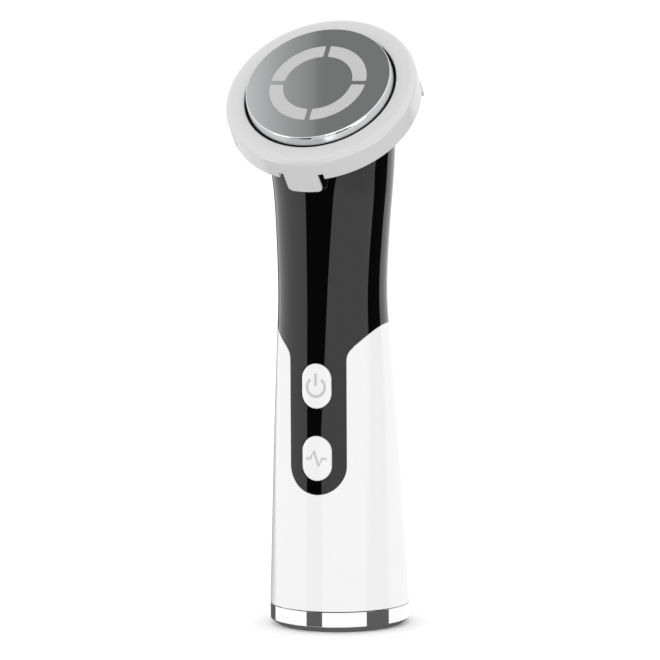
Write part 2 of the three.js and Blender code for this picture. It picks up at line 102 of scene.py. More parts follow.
WINDOW_INNER = 10.15
WINDOW_OUTER = 14.5
WINDOW_BRIDGE = 1.3


# ------------------------------------------------------------------ settings a user would change
def length(name, description, default):
    """A length in metres, shown in the scene's unit."""
    return bpy.props.FloatProperty(
        name=name, description=description, default=default, min=0.0, unit="LENGTH",
        precision=6)


def linear(code):
    """An sRGB hex colour, such as C6C6C6, as linear red, green, blue and alpha."""
    channels = [int(code[i:i + 2], 16) / 255 for i in (0, 2, 4)]
    return tuple(c / 12.92 if c <= 0.04045 else ((c + 0.055) / 1.055) ** 2.4
                 for c in channels) + (1.0,)


def colour(name, description, code):
    """A colour whose default is given as sRGB hex."""
    return bpy.props.FloatVectorProperty(
        name=name, description=description, subtype="COLOR", size=4, min=0.0, max=1.0,
        default=linear(code))


class WandSizes(bpy.types.PropertyGroup):
    """Small sizes of the finished pieces."""

    wall: length("Wall", "Thickness of the sleeve and of the neck", 0.0018)
    seam: length("Seam", "Gap between the neck and the sleeve", 0.00014)
    button_gap: length("Button gap", "Gap round each button", 0.00022)
    button_proud: length("Button proud", "How far a button stands out", 0.00025)
    button_round: length("Button rounding", "Rounding of a button's edge", 0.0006)
    ring_wall: length("Ring wall", "Thickness of the cotton ring", 0.0012)
    ring_edge: length("Ring edge", "Rounding of the cotton ring's outer edge", 0.0019)
    tab_round: length("Tab rounding", "Rounding of the tab's two corners", 0.0015)
    edge_break: length("Edge break", "Rounding of the other moulded edges", 0.00025)
    symbol_height: length("Symbol height", "How far a printed symbol stands out", 0.00004)


class WandColours(bpy.types.PropertyGroup):
    """Colours of the visible finishes."""

    white: colour("White", "Gloss white of the sleeve", "F0F0F0")
    button: colour("Button white", "White of the buttons", "F1F1F1")
    ring: colour("Ring white", "White of the cotton ring", "D5D5D5")
    black: colour("Black", "Piano black of the neck and the tongue", "030303")
    symbol: colour("Symbol", "Grey of the printed symbols", "C8C8C8")
    lens: colour("Lens", "Milky grey of the light windows", "C0C0C0")
    chrome: colour("Chrome", "Plating of the base ring", "FBFBFC")
    steel: colour("Steel", "Polished contact plate", "E2E3E4")
    floor: colour("Floor", "Pale floor", "FFFFFF")


def sizes():
    return bpy.context.scene.wand_sizes


def colours():
    return bpy.context.scene.wand_colours


# ------------------------------------------------------------------ the handle's surface
def radius_at(height):
    """Radius of the handle: a smooth curve through the knots."""
    last = len(RADII) - 2
    k = next((i for i in range(last) if height <= RADII[i + 1][0]), last)

    def slope(i):
        low, high = RADII[max(i - 1, 0)], RADII[min(i + 1, len(RADII) - 1)]
        return (high[1] - low[1]) / (high[0] - low[0])

    (z0, r0), (z1, r1) = RADII[k], RADII[k + 1]
    t = (height - z0) / (z1 - z0)
    h = t * t * (3 - 2 * t)
    bend = (1 - t) * slope(k) - t * slope(k + 1)
    return r0 * (1 - h) + r1 * h + (z1 - z0) * t * (1 - t) * bend


def lean_at(height):
    t = min(max((height - LEAN_START) / (NECK_TOP - LEAN_START), 0.0), 1.0)
    return HEAD_TILT * t * t * (3 - 2 * t)


def on_handle(radius, angle, height):
    """The point of a handle section at an angle from the back."""
    lean = lean_at(height)
    x, y = radius * math.sin(angle), radius * math.cos(angle)
    centre = FRONT_Y + radius_at(height) * math.cos(lean)
    return Vector((x, centre + y * math.cos(lean), height + y * math.sin(lean)))


def front_y(x, z):
    """Y of the handle's front at a place below the neck's lean."""
    radius = radius_at(z)
    return FRONT_Y + radius - math.sqrt(radius * radius - x * x)


# ------------------------------------------------------------------ mesh tools
def wrapped_grid(columns, rows, place):
    """A closed skin of columns by rows, put in shape by place(column, row)."""
    bm = bmesh.new()
    bmesh.ops.create_grid(bm, x_segments=columns, y_segments=rows, size=1.0)
    low = min(v.co.x for v in bm.verts)
    span = -2 * low
    for vertex in bm.verts:
        column = round((vertex.co.x - low) / span * columns) % columns
        row = round((vertex.co.y - low) / span * rows)
        vertex.co = place(column, row)
    bmesh.ops.remove_doubles(bm, verts=bm.verts, dist=1e-5)
    bmesh.ops.recalc_face_normals(bm, faces=bm.faces)
    return bm


def rounded(corners, closed=True, steps=5):
    """A half section's (radius, height, rounding) corners as points with arcs."""
    count = len(corners)
    points = []
    for i, (r, z, rounding) in enumerate(corners):
        corner = Vector((r, z))
        if rounding == 0 or (not closed and i in (0, count - 1)):
            points.append(corner)
            continue
        before = (Vector(corners[i - 1][:2]) - corner).normalized()
        after = (Vector(corners[(i + 1) % count][:2]) - corner).normalized()
        half = before.angle(after) / 2
        start = corner + before * rounding / math.tan(half)
        middle = corner + (before + after).normalized() * rounding / math.sin(half)
        turn = (start - middle).angle_signed(after * rounding / math.tan(half)
                                             + corner - middle)
        for k in range(steps + 1):
            arm = start - middle
            arm.rotate(Matrix.Rotation(-turn * k / steps, 2))
            points.append(middle + arm)
    return points


def turned(points, closed=True, columns=192):
    """A solid turned about Z from the points of its half section."""
    bm = bmesh.new()
    verts = [bm.verts.new((p[0], 0, p[1])) for p in points]
    pairs = list(zip(verts, verts[1:]))
    if closed:
        pairs.append((verts[-1], verts[0]))
    edges = [bm.edges.new(pair) for pair in pairs]
    bmesh.ops.spin(bm, geom=verts + edges, cent=(0, 0, 0), axis=(0, 0, 1),
                   angle=2 * math.pi, steps=columns, use_merge=True)
    bmesh.ops.remove_doubles(bm, verts=bm.verts, dist=1e-5)
    bmesh.ops.recalc_face_normals(bm, faces=bm.faces)
    return bm


def prism(outline, direction):
    """A solid with a flat outline, pushed out along a direction."""
    bm = bmesh.new()
    verts = [bm.verts.new(p) for p in outline]
    edges = [bm.edges.new(pair) for pair in zip(verts, verts[1:] + verts[:1])]
    bmesh.ops.contextual_create(bm, geom=edges)
    grown = bmesh.ops.extrude_face_region(bm, geom=bm.faces[:])
    moved = [v for v in grown["geom"] if isinstance(v, bmesh.types.BMVert)]
    bmesh.ops.translate(bm, verts=moved, vec=direction)
    bmesh.ops.recalc_face_normals(bm, faces=bm.faces)
    return bm


def arc(cx, cy, radius, start, end, steps):
    """Points of a flat arc, with its angles in degrees."""
    angles = [math.radians(start + (end - start) * k / steps) for k in range(steps + 1)]
    return [(cx + radius * math.cos(a), cy + radius * math.sin(a)) for a in angles]


def stadium(cx, cy, width, height, steps=16):
    """An upright outline with half-round ends."""
    half = width / 2
    reach = height / 2 - half
    return (arc(cx, cy + reach, half, 0, 180, steps)
            + arc(cx, cy - reach, half, 180, 360, steps))


def to_object(bm, name):
    """Turns a bmesh in millimetres into an object in metres."""
    mesh = bpy.data.meshes.new(name)
    bm.to_mesh(mesh)
    bm.free()
    mesh.transform(Matrix.Scale(MM, 4))
    obj = bpy.data.objects.new(name, mesh)
    bpy.context.scene.collection.objects.link(obj)
    return obj


def boolean(obj, operation, *tools):
    """Cuts, joins or keeps with each tool in turn; the tools are used up."""
    for tool in tools:
        modifier = obj.modifiers.new("boolean", "BOOLEAN")
        modifier.operation = operation
        modifier.solver = "EXACT"
        modifier.object = tool
        bake(obj)
        bpy.data.objects.remove(tool)
    return obj


def bake(obj):
    """Applies the modifiers to the mesh."""
    graph = bpy.context.evaluated_depsgraph_get()
    mesh = bpy.data.meshes.new_from_object(obj.evaluated_get(graph))
    obj.modifiers.clear()
    old = obj.data
    obj.data = mesh
    bpy.data.meshes.remove(old)
    mesh.name = obj.name


def break_edges(obj, width, angle=40, segments=3):
    """Rounds the sharp edges a little."""
    modifier = obj.modifiers.new("break", "BEVEL")
    modifier.width = width
    modifier.segments = segments
    modifier.limit_method = "ANGLE"
    modifier.angle_limit = math.radians(angle)
    modifier.use_clamp_overlap = True


def keep_flats(obj):
    """Lets the large faces set the shading, so that flats stay flat beside small roundings."""
    modifier = obj.modifiers.new("flats", "WEIGHTED_NORMAL")
    modifier.mode = "FACE_AREA"
    modifier.keep_sharp = True


def set_piece(obj, material, body, slot, *nodes, sharp=35, flats=True):
    """Shades a finished piece, gives it its finish and makes it ride on its body."""
    obj.data.materials.clear()
    obj.data.materials.append(material)
    for polygon in obj.data.polygons:
        polygon.use_smooth = True
    if sharp:
        obj.data.set_sharp_from_angle(angle=math.radians(sharp))
    if flats:
        keep_flats(obj)
    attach(obj, body)
    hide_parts(*nodes)
    return obj


# ------------------------------------------------------------------ materials
def add_node(tree, kind, settings=None, links=None):
    """Adds a node, sets its inputs or properties by name, and links sockets to its inputs."""
    node = tree.nodes.new(kind)
    for name, value in (settings or {}).items():
        if name in node.inputs:
            node.inputs[name].default_value = value
        else:
            setattr(node, name, value)
    for name, socket in (links or {}).items():
        tree.links.new(socket, node.inputs[name])
    return node


def new_material(name, **surface):
    """A material with a Principled surface; returns it with its tree and surface node."""
    material = bpy.data.materials.new(name)
    material.use_nodes = True
    tree = material.node_tree
    tree.nodes.clear()
    shader = add_node(tree, "ShaderNodeBsdfPrincipled",
                      {key.replace("_", " "): value for key, value in surface.items()})
    add_node(tree, "ShaderNodeOutputMaterial", links={"Surface": shader.outputs["BSDF"]})
    return material, tree, shader


def per_metre(millimetres):
    """Pattern scale whose features are this many millimetres apart."""
    return 1.0 / (millimetres * MM)


def texture_at(tree):
    return add_node(tree, "ShaderNodeTexCoord").outputs["Object"]


def vary(tree, socket, low, high, feature, detail=2.0):
    """Drives a socket with smooth noise between two values."""
    noise = add_node(tree, "ShaderNodeTexNoise",
                     {"Scale": per_metre(feature), "Detail": detail},
                     {"Vector": texture_at(tree)})
    span = add_node(tree, "ShaderNodeMapRange", {"To Min": low, "To Max": high},
                    {"Value": noise.outputs["Fac"]})
    tree.links.new(span.outputs["Result"], socket)


def relief(tree, shader, feature, depth, detail=2.0):
    """Adds a fine relief: features in millimetres apart, depth in millimetres."""
    noise = add_node(tree, "ShaderNodeTexNoise",
                     {"Scale": per_metre(feature), "Detail": detail},
                     {"Vector": texture_at(tree)})
    bump = add_node(tree, "ShaderNodeBump", {"Strength": 1.0, "Distance": depth * MM},
                    {"Height": noise.outputs["Fac"]})
    tree.links.new(bump.outputs["Normal"], shader.inputs["Normal"])


def moulded_plastic(name, tint, gloss, grain=1.6, grain_depth=0.0006):
    """Injection-moulded ABS: even colour, gloss that wanders slightly, faint flow waviness."""
    material, tree, shader = new_material(name, Base_Color=tint, IOR=1.5)
    vary(tree, shader.inputs["Roughness"], gloss * 0.85, gloss * 1.2, 6.0)
    relief(tree, shader, grain, grain_depth)
    return material


def piano_black():
    """ABS moulded in a mirror-polished tool: deep black under a sharp reflection."""
    material, tree, shader = new_material("piano_black_abs", Base_Color=colours().black,
                                          IOR=1.56)
    vary(tree, shader.inputs["Roughness"], 0.03, 0.06, 8.0)
    return material


def plated(name, tint, gloss):
    """Decorative chrome over moulded ABS: a mirror with the faintest flow marks."""
    material, tree, shader = new_material(name, Base_Color=tint, Metallic=1.0)
    vary(tree, shader.inputs["Roughness"], gloss * 0.7, gloss * 1.5, 5.0)
    return material


def polished_plate():
    """Stainless sheet, pressed and buffed round: a mirror with hair-fine turned marks."""
    material, tree, shader = new_material("buffed_stainless", Base_Color=colours().steel,
                                          Metallic=1.0)
    turned_marks = add_node(tree, "ShaderNodeTexNoise",
                            {"Scale": per_metre(9.0), "Detail": 3.0},
                            {"Vector": texture_at(tree)})
    span = add_node(tree, "ShaderNodeMapRange", {"To Min": 0.03, "To Max": 0.06},
                    {"Value": turned_marks.outputs["Fac"]})
    tree.links.new(span.outputs["Result"], shader.inputs["Roughness"])
    return material


def milky_window():
    """Opal polycarbonate over the lamps: soft, slightly deep grey white."""
    material, tree, shader = new_material(
        "opal_polycarbonate", Base_Color=colours().lens, IOR=1.58)
    vary(tree, shader.inputs["Roughness"], 0.22, 0.32, 3.0)
    return material


def soft_rubber():
    """Silicone gasket: matte black with a dusty sheen."""
    material, tree, shader = new_material("silicone_rubber", Base_Color=linear("111112"))
    vary(tree, shader.inputs["Roughness"], 0.6, 0.8, 1.5)
    return material


def printed_grey():
    """Pad-printed ink: flat grey with a slight edge to its gloss."""
    material, tree, shader = new_material("printed_ink", Base_Color=colours().symbol)
    vary(tree, shader.inputs["Roughness"], 0.35, 0.5, 0.8)
    return material


def solder_mask():
    """Green solder mask over copper, with the tracks showing as a faint grid."""
    material, tree, shader = new_material("solder_mask", Roughness=0.4)
    bricks = add_node(tree, "ShaderNodeTexBrick",
                      {"Scale": per_metre(3.0), "Color1": linear("1E6B40"),
                       "Color2": linear("1A5E38"), "Mortar": linear("2C8554"),
                       "Mortar Size": 0.04},
                      {"Vector": texture_at(tree)})
    tree.links.new(bricks.outputs["Color"], shader.inputs["Base Color"])
    return material


def machined_metal(name, code, gloss):
    """Plated or turned metal hardware, gloss varying with handling."""
    material, tree, shader = new_material(name, Base_Color=linear(code), Metallic=1.0)
    vary(tree, shader.inputs["Roughness"], gloss * 0.7, gloss * 1.3, 1.0)
    relief(tree, shader, 0.4, 0.004)
    return material


def inner_materials():
    """The finishes of the pieces inside, by the record's material slot."""
    return {
        "inner_abs": moulded_plastic("inner_abs", linear("3A3C40"), 0.55, 0.7, 0.01),
        "circuit_board": solder_mask(),
        "chip_epoxy": moulded_plastic("epoxy_moulding", linear("1B1B1D"), 0.5, 0.3, 0.004),
        "screw_steel": machined_metal("zinc_plated_steel", "B9BBBD", 0.3),
        "brass": machined_metal("turned_brass", "C8A455", 0.28),
        "white_nylon": moulded_plastic("nylon", linear("EDE9DA"), 0.45, 0.8, 0.004),
        "cell_wrap": moulded_plastic("shrink_film", linear("2A5FA8"), 0.25, 4.0, 0.02),
        "red_lead": moulded_plastic("red_silicone_lead", linear("B3231F"), 0.5, 0.5, 0.004),
        "black_lead": moulded_plastic("black_silicone_lead", linear("1D1D1F"), 0.5, 0.5,
                                      0.004),
    }


# ------------------------------------------------------------------ handle
def handle_wall(name, low, high, rows, columns=256):
    """A closed wall between two heights, with its outer and inner skins."""
    thickness = sizes().wall / MM
    heights = [low + (high - low) * k / rows for k in range(rows + 1)]
    track = [(0.0, z) for z in heights] + [(thickness, z) for z in reversed(heights)]

    def place(column, row):
        inset, height = track[row % len(track)]
        return on_handle(radius_at(height) - inset, 2 * math.pi * column / columns, height)

    return to_object(wrapped_grid(columns, len(track), place), name)


def neck_space(grow):
    """The space of the neck and its tongue, grown by a clearance."""
    far = 45.0
    shoulder = arc(SHOULDER_Y, SHOULDER_HEIGHT - SHOULDER_RADIUS, SHOULDER_RADIUS - grow,
                   180, 90, 96)
    side = [(far, shoulder[-1][1]), (far, 200), (-far, 200), (-far, shoulder[0][1])] + shoulder
    above = to_object(prism([(-far, y, z) for y, z in side], (2 * far, 0, 0)), "above")
    half = TONGUE_HALF_WIDTH + grow
    flare_x = TONGUE_HALF_WIDTH + TONGUE_FLARE
    flare = TONGUE_FLARE - grow
    top = SHOULDER_HEIGHT - 1
    bend = arc(flare_x, TONGUE_FLARE_START, flare, 180, 133, 24)
    left_bend = [(-x, z) for x, z in reversed(bend)]
    front = (arc(0, TONGUE_BOTTOM + TONGUE_HALF_WIDTH, half, 180, 360, 64)
             + bend + [(bend[-1][0], top), (left_bend[0][0], top)] + left_bend)
    tongue = to_object(prism([(x, -far, z) for x, z in front], (0, far - 9, 0)), "tongue")
    return boolean(above, "UNION", tongue)


def keep_surface_shading(obj, form):
    """Shades a cut piece as the smooth form that it was cut from."""
    modifier = obj.modifiers.new("shading", "DATA_TRANSFER")
    modifier.object = form
    modifier.use_loop_data = True
    modifier.data_types_loops = {"CUSTOM_NORMAL"}
    modifier.loop_mapping = "POLYINTERP_NEAREST"
    bake(obj)
    bpy.data.objects.remove(form)


def smooth_wall(name, low, high, rows):
    form = handle_wall(name, low, high, rows)
    for polygon in form.data.polygons:
        polygon.use_smooth = True
    form.data.set_sharp_from_angle(angle=math.radians(40))
    return form


class WAND_OT_neck(bpy.types.Operator):
    """Builds the gloss black neck with its tongue and button holes."""

    bl_idname = "wand.neck"
    bl_label = "Neck"

    def execute(self, context):
        low = TONGUE_BOTTOM - 3
        neck = smooth_wall("neck_shell", low, NECK_TOP, 96)
        boolean(neck, "INTERSECT", neck_space(-sizes().seam / MM / 2))
        gap = 2 * sizes().button_gap / MM
        for z in BUTTON_Z.values():
            outline = stadium(0, z, BUTTON_WIDTH + gap, BUTTON_HEIGHT + gap, 32)
            hole = prism([(x, -30, z) for x, z in outline], (0, 21, 0))
            boolean(neck, "DIFFERENCE", to_object(hole, "hole"))
        for polygon in neck.data.polygons:
            polygon.use_smooth = True
        keep_surface_shading(neck, smooth_wall("neck_form", low - 3, NECK_TOP + 1, 99))
        set_piece(neck, piano_black(), "handle", "gloss_black_abs", "neck_cover",
                  sharp=0, flats=False)
        return {"FINISHED"}


class WAND_OT_sleeve(bpy.types.Operator):
    """Builds the gloss white lower sleeve."""

    bl_idname = "wand.sleeve"
    bl_label = "Sleeve"

    def execute(self, context):
        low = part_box("white_sleeve")[0].z / MM
        high = SHOULDER_HEIGHT + 3
        sleeve = smooth_wall("sleeve_shell", low, high, 64)
        boolean(sleeve, "DIFFERENCE", neck_space(sizes().seam / MM / 2))
        for polygon in sleeve.data.polygons:
            polygon.use_smooth = True
        keep_surface_shading(sleeve, smooth_wall("sleeve_form", low - 3, high + 2, 68))
        white = moulded_plastic("gloss_white_abs", colours().white, 0.12)
        set_piece(sleeve, white, "handle", "gloss_white_abs", "white_sleeve",
                  sharp=0, flats=False)
        return {"FINISHED"}


class WAND_OT_base(bpy.types.Operator):
    """Builds the chromed base ring and the base cap with its port and screw wells."""

    bl_idname = "wand.base"
    bl_label = "Base"

    def execute(self, context):
        low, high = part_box("base_ring")
        outer = high.x / MM
        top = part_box("white_sleeve")[0].z / MM - 0.3
        chamfer = 1.7
        ring = turned(rounded([
            (16.3, 0, 0.2), (outer - 2.2, 0, 0.25), (outer, chamfer, 0.3), (outer, top, 0.05),
            (18.2, top, 0), (18.2, high.z / MM, 0.2), (17, high.z / MM, 0.2), (17, 3, 0),
            (16.3, 3, 0)]))
        set_piece(to_object(ring, "chrome_ring"), plated("chromed_abs", colours().chrome, 0.03),
                  "handle", "chromed_abs", "base_ring")
        self.build_cap()
        return {"FINISHED"}

    @staticmethod
    def build_cap():
        """The flat cap: a shallow groove, two screw wells and the port's opening."""
        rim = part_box("base_cap")[1].x / MM
        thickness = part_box("base_cap")[1].z / MM
        cap = to_object(turned(rounded([
            (0, 0, 0), (12.6, 0, 0.1), (12.75, 0.2, 0.05), (13.2, 0.2, 0.05), (13.35, 0, 0.1),
            (rim, 0, 0.25), (rim, thickness, 0.1), (0, thickness, 0)], closed=False),
            closed=False), "cap_plate")
        for node in ("base_screw_left", "base_screw_right"):
            low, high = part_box(node)
            x = (low.x + high.x) / 2 / MM
            well = turned([(0, -1), (2.4, -1), (2.4, 1.2), (1.3, 1.2), (1.3, 5), (0, 5)],
                          closed=False, columns=64)
            bmesh.ops.translate(well, verts=well.verts, vec=(x, 0, 0))
            boolean(cap, "DIFFERENCE", to_object(well, "well"))
        low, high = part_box("usb_socket")
        width, depth = (high.x - low.x) / MM + 0.4, (high.y - low.y) / MM + 0.4
        y = (low.y + high.y) / 2 / MM
        outline = stadium(0, 0, depth, width)
        port = prism([(-z, x + y, -1) for x, z in outline], (0, 0, 6))
        boolean(cap, "DIFFERENCE", to_object(port, "port"))
        break_edges(cap, 0.0001)
        set_piece(cap, moulded_plastic("satin_grey_abs", linear("3A3C40"), 0.4, 0.5, 0.008),
                  "handle", "inner_abs", "base_cap")


# ------------------------------------------------------------------ buttons
def button_track():
    """(spread, depth) of the skin from the front's middle line over the edge to the back."""
    edge = sizes().button_round / MM
    half = BUTTON_WIDTH / 2
    front = [(spread, 0.0) for spread in (0.0, 0.3, 0.55, 0.75)]
    turn = [(1 - edge / half * (1 - math.sin(a)), edge * (1 - math.cos(a)))
            for a in (math.radians(15 * k) for k in range(7))]
    return front + turn + [(1.0, None), (0.0, None)]


def button_face(x, z):
    return front_y(x, z) - sizes().button_proud / MM


class WAND_OT_buttons(bpy.types.Operator):
    """Builds the two white press buttons."""

    bl_idname = "wand.buttons"
    bl_label = "Buttons"

    def execute(self, context):
        white = moulded_plastic("satin_white_abs", colours().button, 0.22)
        track = button_track()
        columns = 128
        half = BUTTON_WIDTH / 2
        reach = BUTTON_HEIGHT / 2 - half
        for name, centre in BUTTON_Z.items():
            outline = stadium(0, centre, BUTTON_WIDTH, BUTTON_HEIGHT, columns // 2 - 1)

            def place(column, row, centre=centre, outline=outline):
                spread, depth = track[row]
                x, z = outline[column]
                core = min(max(z, centre - reach), centre + reach)
                x, z = x * spread, core + (z - core) * spread
                y = BUTTON_BACK if depth is None else button_face(x, z) + depth
                return Vector((x, y, z))

            bm = wrapped_grid(columns, len(track) - 1, place)
            set_piece(to_object(bm, f"{name}_key"), white, f"{name}_button",
                      "satin_white_abs", f"{name}_button", sharp=50)
        return {"FINISHED"}


def ribbon(centre_line, width, z_offset):
    """A thin flat band along a line drawn on a button's face, as a solid of its own."""
    count = len(centre_line) - 1
    lift = sizes().symbol_height / MM
    sink = 0.15

    def side(k):
        a = Vector(centre_line[max(k - 1, 0)])
        b = Vector(centre_line[min(k + 1, count)])
        along = (b - a).normalized()
        return Vector((-along.y, along.x)) * width / 2

    bm = bmesh.new()
    bmesh.ops.create_grid(bm, x_segments=count, y_segments=2, size=1.0)
    for vertex in bm.verts:
        k = round((vertex.co.x + 1) / 2 * count)
        across = vertex.co.y
        point = Vector(centre_line[k]) + side(k) * across
        x, z = point.x, point.y + z_offset
        vertex.co = Vector((x, button_face(x, z) - lift, z))
    grown = bmesh.ops.extrude_face_region(bm, geom=bm.faces[:])
    moved = [v for v in grown["geom"] if isinstance(v, bmesh.types.BMVert)]
    bmesh.ops.translate(bm, verts=moved, vec=(0, sink, 0))
    bmesh.ops.recalc_face_normals(bm, faces=bm.faces)
    return bm


class WAND_OT_symbols(bpy.types.Operator):
    """Prints a power symbol and a pulse line on the buttons."""

    bl_idname = "wand.symbols"
    bl_label = "Symbols"

    def execute(self, context):
        ink = printed_grey()
        stroke = 0.8
        power_radius = 2.7
        power = [
            arc(0, -0.25, power_radius, 90 + 38, 90 + 322, 48),
            [(0, 0.1), (0, 1.9), (0, 3.7)],
        ]
        pulse = [[(-3.1, 0), (-1.7, 0), (-0.75, 2.2), (0.75, -2.2), (1.7, 0), (3.1, 0)]]
        for name, lines in (("power", power), ("mode", pulse)):
            for i, line in enumerate(lines):
                bm = ribbon(line, stroke, BUTTON_Z[name])
                mark = to_object(bm, f"{name}_symbol_{i + 1}")
                set_piece(mark, ink, f"{name}_button", "satin_white_abs", flats=False)
        return {"FINISHED"}


# ------------------------------------------------------------------ head
def in_head(bm):
    bmesh.ops.transform(bm, matrix=HEAD_FRAME, verts=bm.verts)
    return bm


def window_outline(inner, outer, bridge, corner, quarter):
    """Outline of one arc window with rounded corners, in the head's plane."""
    half = bridge / 2
    steps = 24

    def ends(radius, inset):
        start = math.asin((half + inset) / radius)
        return start, math.pi / 2 - start

    points = []
    for radius, toward, order in ((outer, -1, 1), (inner, 1, -1)):
        start, stop = ends(radius, corner)
        sweep = [start + (stop - start) * k / steps for k in range(steps + 1)]
        run = [(radius * math.cos(a), radius * math.sin(a)) for a in sweep]
        near = radius + toward * corner
        first, last = ends(near, 0)
        run = ([(near * math.cos(first), near * math.sin(first))] + run
               + [(near * math.cos(last), near * math.sin(last))])
        points += run[::order]
    turn = Matrix.Rotation(math.pi / 2 * quarter, 2)
    return [turn @ Vector(p) for p in points]


def window_prisms(inner, outer, bridge, corner, low, high):
    return [to_object(in_head(prism(
        [(p.x, p.y, low) for p in window_outline(inner, outer, bridge, corner, quarter)],
        (0, 0, high - low))), "window") for quarter in range(4)]


class WAND_OT_plate(bpy.types.Operator):
    """Builds the mirror-finished contact plate with its four windows."""

    bl_idname = "wand.plate"
    bl_label = "Contact plate"

    def execute(self, context):
        plate = to_object(in_head(turned(rounded([
            (0, -0.8, 0), (20.5, -0.8, 0), (21.3, -3.7, 0), (22.2, -3.7, 0.1),
            (21.35, 0, 0.35), (0, 0, 0)], closed=False), closed=False, columns=256)),
            "contact_plate")
        boolean(plate, "DIFFERENCE",
                *window_prisms(WINDOW_INNER, WINDOW_OUTER, WINDOW_BRIDGE, 0.35, -2, 1))
        set_piece(plate, polished_plate(), "handle", "polished_steel", "treatment_plate")
        return {"FINISHED"}


class WAND_OT_windows(bpy.types.Operator):
    """Builds the milky insert that fills the four windows."""

    bl_idname = "wand.windows"
    bl_label = "Light windows"

    def execute(self, context):
        gap = 0.05
        insert = to_object(in_head(turned(
            [(9, -2.2), (15.6, -2.2), (15.6, -1.05), (9, -1.05)], columns=128)),
            "light_windows")
        arcs = window_prisms(WINDOW_INNER + gap, WINDOW_OUTER - gap, WINDOW_BRIDGE + 2 * gap,
                             0.32, -1.6, -0.02)
        boolean(insert, "UNION", *arcs)
        set_piece(insert, milky_window(), "handle", "milky_lens", "window_lens")
        return {"FINISHED"}


class WAND_OT_head_base(bpy.types.Operator):
    """Builds the black head base and the gasket under the plate."""

    bl_idname = "wand.head_base"
    bl_label = "Head base"

    def execute(self, context):
        cup = turned(rounded([
            (8, -9.9, 0), (26.6, -9.9, 0.5), (26.6, -5.2, 0.2), (20.9, -5.2, 0),
            (20.9, -6.4, 0), (25, -6.4, 0), (25, -8.9, 0.3), (8, -8.9, 0)]))
        set_piece(to_object(in_head(cup), "head_cup"), bpy.data.materials["piano_black_abs"],
                  "handle", "gloss_black_abs", "head_base")
        seal = turned(rounded([
            (20.9, -4.9, 0.1), (26.3, -4.9, 0.1), (26.3, -4, 0.15), (22.46, -4, 0.05),
            (22.46, -2.75, 0.08), (22.24, -2.75, 0.08), (22.24, -4, 0.05),
            (20.9, -4, 0.15)]))
        set_piece(to_object(in_head(seal), "seal_ring"), soft_rubber(),
                  "handle", "gasket_rubber", "head_gasket")
        return {"FINISHED"}


def skirt_outline(tab_round):
    """The unrolled skirt's lower edge, from one end to the other, with its tabs."""
    half_turn = math.pi * RING_OUTER
    points = [(-half_turn, RING_BOTTOM)]
    half = TAB_WIDTH / 2
    low = RING_BOTTOM - TAB_DROP
    notch = RING_BOTTOM + NOTCH_DEPTH
    for degrees in TAB_ANGLES:
        u = math.radians(degrees) * RING_OUTER
        points += [(u - half - NOTCH_WIDTH, RING_BOTTOM), (u - half - NOTCH_WIDTH, notch),
                   (u - half, notch)]
        points += arc(u - half + tab_round, low + tab_round, tab_round, 180, 270, 8)
        points += arc(u + half - tab_round, low + tab_round, tab_round, 270, 360, 8)
        points += [(u + half, notch), (u + half + NOTCH_WIDTH, notch),
                   (u + half + NOTCH_WIDTH, RING_BOTTOM)]
    return points + [(half_turn, RING_BOTTOM)]


